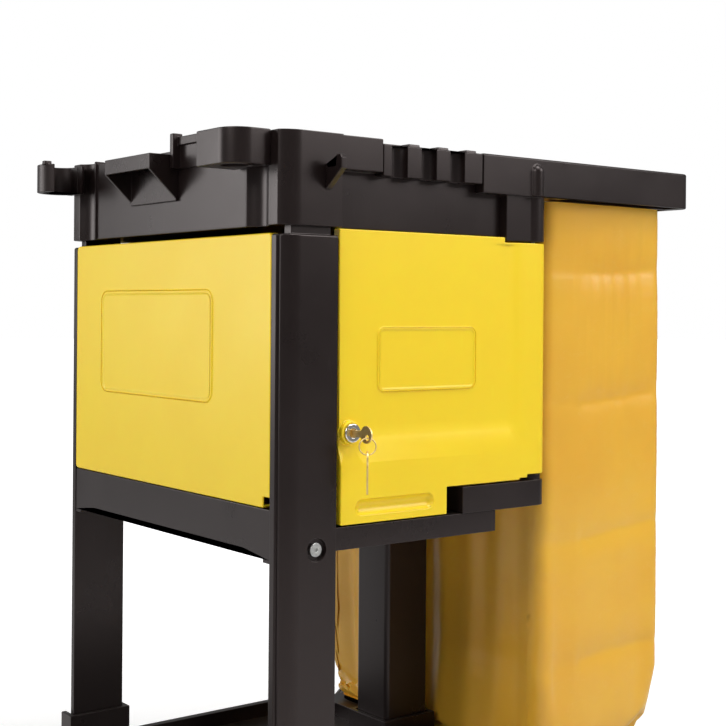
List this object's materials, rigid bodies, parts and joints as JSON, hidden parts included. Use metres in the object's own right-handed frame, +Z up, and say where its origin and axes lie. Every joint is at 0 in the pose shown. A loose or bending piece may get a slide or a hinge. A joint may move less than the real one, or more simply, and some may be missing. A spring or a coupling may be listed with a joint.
{
  "type": "janitor cleaning cart",
  "caption": "Janitor's cleaning cart: tool tray with handle holders, lockable cabinet with a keyed door, hanging vinyl bag, rear wheels and swivel casters.",
  "frame": {"origin": "on the floor, mid-length and mid-width of the cart", "axes": "+X along the cart towards the bag and push handle, -Y out of the cabinet door, +Z up"},
  "size_m": [1.168, 0.5721, 0.98],
  "materials": {
    "black_plastic": "satin moulded, fine texture",
    "yellow_plastic": "satin moulded polyethylene",
    "bag_vinyl": "coated vinyl, soft sheen",
    "plated_steel": "zinc plated",
    "chrome": "polished",
    "brass": "turned",
    "nickel": "nickel plated, handled",
    "hub_plastic": "moulded",
    "grey_tyre": "non-marking rubber"
  },
  "bodies": {
    "root": {"base_platform": "black_plastic", "front_post_door_side": "black_plastic", "front_post_far_side": "black_plastic", "rear_column": "black_plastic", "middle_shelf": "black_plastic", "top_tray": "black_plastic", "bracket_shelf": "black_plastic", "handle_fence": "black_plastic", "bottle_ring": "black_plastic", "mop_clip": "black_plastic", "utility_hook_door_side": "black_plastic", "utility_hook_far_side": "black_plastic", "grip_rack_door_side": "black_plastic", "grip_rack_far_side": "black_plastic", "bag_frame": "black_plastic", "bag_hooks": "black_plastic", "hinge_bracket": "black_plastic", "cabinet_end_panel": "yellow_plastic", "cabinet_far_panel": "yellow_plastic", "cabinet_bag_side_panel": "yellow_plastic", "vinyl_bag": "bag_vinyl", "hinge_pin_upper": "plated_steel", "hinge_pin_lower": "plated_steel", "rear_axle": "plated_steel", "axle_washers": "plated_steel", "axle_caps": "plated_steel", "post_bolts": "plated_steel", "post_nuts": "plated_steel", "column_bolts": "plated_steel", "column_nuts": "plated_steel", "frame_screws": "plated_steel", "strike_plate": "plated_steel", "strike_screws": "plated_steel", "caster_bolts": "plated_steel", "caster_plate_door_side": "plated_steel", "caster_race_door_side": "plated_steel", "caster_plate_far_side": "plated_steel", "caster_race_far_side": "plated_steel"},
    "door": {"cabinet_door": "yellow_plastic", "lock_barrel": "chrome", "lock_nut": "plated_steel"},
    "lock_core": {"lock_plug": "brass", "lock_cam": "plated_steel", "cam_screw": "plated_steel", "door_key": "nickel"},
    "key_ring": {"key_ring": "nickel"},
    "spare_key": {"spare_key": "nickel"},
    "rear_wheel_door_side": {"rear_wheel_hub_door_side": "hub_plastic", "rear_wheel_tyre_door_side": "grey_tyre"},
    "caster_swivel_door_side": {"caster_fork_door_side": "plated_steel", "caster_axle_door_side": "plated_steel"},
    "caster_roller_door_side": {"caster_wheel_door_side": "hub_plastic", "caster_tyre_door_side": "grey_tyre"},
    "rear_wheel_far_side": {"rear_wheel_hub_far_side": "hub_plastic", "rear_wheel_tyre_far_side": "grey_tyre"},
    "caster_swivel_far_side": {"caster_fork_far_side": "plated_steel", "caster_axle_far_side": "plated_steel"},
    "caster_roller_far_side": {"caster_wheel_far_side": "hub_plastic", "caster_tyre_far_side": "grey_tyre"}
  },
  "joints": [
    {"name": "door_hinge", "type": "hinge", "parent": "root", "child": "door", "pos_m": [0.2995, -0.239, 0.7], "axis": [0, 0, 1], "range_deg": [0, 110]},
    {"name": "lock_turn", "type": "hinge", "parent": "door", "child": "lock_core", "pos_m": [0.0145, -0.254, 0.6416], "axis": [0, 1, 0], "range_deg": [0, 90]},
    {"name": "key_ring_swing", "type": "hinge", "parent": "lock_core", "child": "key_ring", "pos_m": [0.0145, -0.282, 0.6382], "axis": [0.7922, -0.6103, 0], "range_deg": [-70, 10]},
    {"name": "spare_key_swing", "type": "hinge", "parent": "key_ring", "child": "spare_key", "pos_m": [0.0145, -0.282, 0.6202], "axis": [0.7922, -0.6103, 0], "range_deg": [-40, 15]},
    {"name": "rear_wheel_spin_door_side", "type": "hinge", "parent": "root", "child": "rear_wheel_door_side", "pos_m": [0.45, -0.254, 0.1016], "axis": [0, 1, 0], "continuous": true},
    {"name": "caster_turn_door_side", "type": "hinge", "parent": "root", "child": "caster_swivel_door_side", "pos_m": [-0.5, -0.185, 0.11], "axis": [0, 0, 1], "continuous": true},
    {"name": "caster_roll_door_side", "type": "hinge", "parent": "caster_swivel_door_side", "child": "caster_roller_door_side", "pos_m": [-0.47, -0.185, 0.0508], "axis": [0, 1, 0], "continuous": true},
    {"name": "rear_wheel_spin_far_side", "type": "hinge", "parent": "root", "child": "rear_wheel_far_side", "pos_m": [0.45, 0.254, 0.1016], "axis": [0, 1, 0], "continuous": true},
    {"name": "caster_turn_far_side", "type": "hinge", "parent": "root", "child": "caster_swivel_far_side", "pos_m": [-0.5, 0.185, 0.11], "axis": [0, 0, 1], "continuous": true},
    {"name": "caster_roll_far_side", "type": "hinge", "parent": "caster_swivel_far_side", "child": "caster_roller_far_side", "pos_m": [-0.47, 0.185, 0.0508], "axis": [0, 1, 0], "continuous": true}
  ]
}
